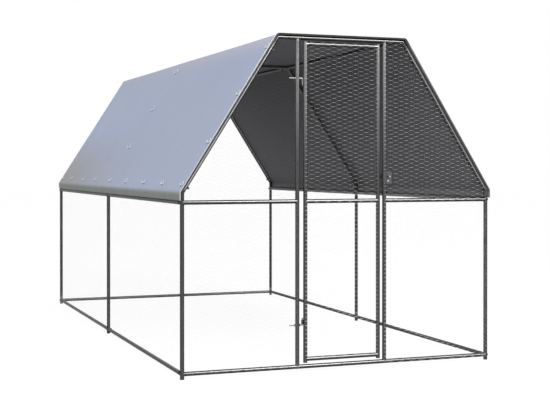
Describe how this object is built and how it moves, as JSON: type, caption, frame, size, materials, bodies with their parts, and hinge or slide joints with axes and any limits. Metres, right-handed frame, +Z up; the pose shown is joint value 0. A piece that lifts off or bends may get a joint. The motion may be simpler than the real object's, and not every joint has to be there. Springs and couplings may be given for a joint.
{
  "type": "walk-in chicken coop",
  "caption": "Walk-in chicken coop of galvanised tube with netted walls, a steep flat-topped roof under a stretched cover, and a hinged front door with a sliding latch.",
  "frame": {"origin": "on the ground at the middle of the plan, half-way between the two gables", "axes": "+Z up; -Y towards someone at the door gable; +X to the right of someone who faces the door"},
  "size_m": [2.0288, 4.06, 2.0141],
  "materials": {
    "galvanised_tube": "satin",
    "netting": "satin",
    "bright_zinc": "bright",
    "latch_steel": "satin",
    "roof_cover": "silver-blue outside and dark inside"
  },
  "bodies": {
    "frame": {"bottom_rail_front_left": "galvanised_tube", "bottom_rail_front_right": "galvanised_tube", "bottom_rail_rear_left": "galvanised_tube", "bottom_rail_rear_right": "galvanised_tube", "clamp_bolt": "bright_zinc", "cover": "roof_cover", "eave_elbows_front": "galvanised_tube", "eave_elbows_mid": "galvanised_tube", "eave_elbows_rear": "galvanised_tube", "eave_rail_front_left": "galvanised_tube", "eave_rail_front_right": "galvanised_tube", "eave_rail_rear_left": "galvanised_tube", "eave_rail_rear_right": "galvanised_tube", "front_bottom_rail": "galvanised_tube", "hinge_post": "galvanised_tube", "hinge_rods": "bright_zinc", "latch_clamp_front": "latch_steel", "latch_clamp_rear": "latch_steel", "latch_post": "galvanised_tube", "net_front_left": "netting", "net_front_right": "netting", "net_left": "netting", "net_rear": "netting", "net_right": "netting", "post_front_left": "galvanised_tube", "post_front_right": "galvanised_tube", "post_mid_left": "galvanised_tube", "post_mid_right": "galvanised_tube", "post_rear_left": "galvanised_tube", "post_rear_right": "galvanised_tube", "rafter_front_left": "galvanised_tube", "rafter_front_right": "galvanised_tube", "rafter_mid_left": "galvanised_tube", "rafter_mid_right": "galvanised_tube", "rafter_rear_left": "galvanised_tube", "rafter_rear_right": "galvanised_tube", "rear_bottom_rail": "galvanised_tube", "ridge_elbows_front": "galvanised_tube", "ridge_elbows_mid": "galvanised_tube", "ridge_elbows_rear": "galvanised_tube", "ridge_purlin_front_left": "galvanised_tube", "ridge_purlin_front_right": "galvanised_tube", "ridge_purlin_rear_left": "galvanised_tube", "ridge_purlin_rear_right": "galvanised_tube", "tie_bar_left": "galvanised_tube", "tie_bar_right": "galvanised_tube", "top_tube_front": "galvanised_tube", "top_tube_mid": "galvanised_tube", "top_tube_rear": "galvanised_tube"},
    "door": {"door_bottom_rail": "galvanised_tube", "door_hinge_stile": "galvanised_tube", "door_latch_stile": "galvanised_tube", "door_middle_rail": "galvanised_tube", "door_top_rail": "galvanised_tube", "hinge_eyes": "galvanised_tube", "net_door": "netting"},
    "latch": {"latch_bolt": "bright_zinc", "latch_handle": "bright_zinc"}
  },
  "joints": [
    {"name": "door_swing", "type": "hinge", "parent": "frame", "child": "door", "pos_m": [-0.2545, -2, 0.28], "axis": [0, 0, -1], "range_deg": [0, 105]},
    {"name": "latch_slide", "type": "slide", "parent": "frame", "child": "latch", "axis": [-1, 0, 0], "range_m": [0, 0.01]}
  ]
}
